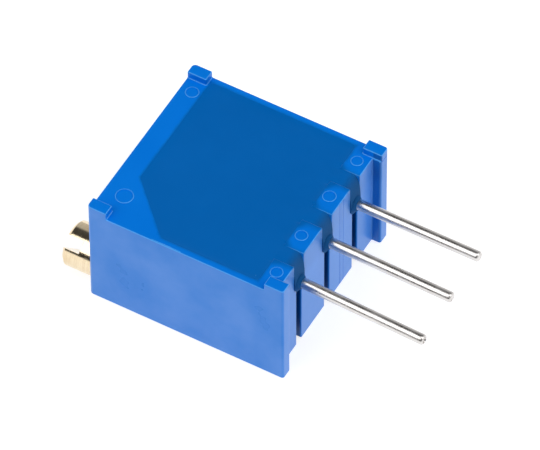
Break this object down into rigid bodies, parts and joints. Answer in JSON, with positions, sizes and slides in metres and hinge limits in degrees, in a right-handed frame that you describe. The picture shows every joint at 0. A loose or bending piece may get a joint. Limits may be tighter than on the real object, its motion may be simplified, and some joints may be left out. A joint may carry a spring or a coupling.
{
  "type": "trimmer potentiometer",
  "caption": "Square multi-turn trimmer potentiometer: slotted brass worm screw, nylon wheel with sprung wiper, printed track and in-line wire terminals.",
  "frame": {"origin": "axis of the centre terminal where it crosses the seating plane of the standoff ribs", "axes": "+X the way the terminals leave, +Y along the terminal row away from the adjustment screw, +Z out of the potted back; the part lies on its front face"},
  "size_m": [0.0175, 0.0096, 0.0061],
  "materials": {
    "case_plastic": "satin",
    "epoxy": "gloss",
    "alumina": "matte",
    "sealant": "matte",
    "cermet": "satin",
    "silver_film": "satin",
    "tinned_wire": "gloss",
    "solder": "satin",
    "brass": "satin",
    "seal_rubber": "matte",
    "spring_steel": "satin",
    "nylon": "satin",
    "black_nylon": "satin",
    "contact_alloy": "satin"
  },
  "bodies": {
    "case": {"housing": "case_plastic", "potting_compound": "epoxy", "ceramic_plate": "alumina", "sealing_frame": "sealant", "resistance_track": "cermet", "collector_track": "silver_film", "end_pad_1": "silver_film", "end_pad_3": "silver_film", "terminal_1": "tinned_wire", "terminal_2": "tinned_wire", "terminal_3": "tinned_wire", "solder_joint_1": "solder", "solder_joint_2": "solder", "solder_joint_3": "solder", "screw_retainer": "spring_steel"},
    "screw": {"adjustment_screw": "brass", "shaft_seal": "seal_rubber"},
    "rotor": {"worm_wheel": "nylon", "wiper_carrier": "black_nylon", "wiper_contact": "contact_alloy"}
  },
  "joints": [
    {"name": "screw_turn", "type": "hinge", "parent": "case", "child": "screw", "pos_m": [-0.0116, -0.00349, -0.00288], "axis": [1, 0, 0], "range_deg": [-4500, 4500]},
    {"name": "rotor_turn", "type": "hinge", "parent": "case", "child": "rotor", "pos_m": [-0.00521, 0.00046, -0.00357], "axis": [0, 0, 1], "range_deg": [-150, 150]}
  ],
  "couplings": [
    {"joint": "rotor_turn", "follows": "screw_turn", "ratio": -0.033333}
  ]
}
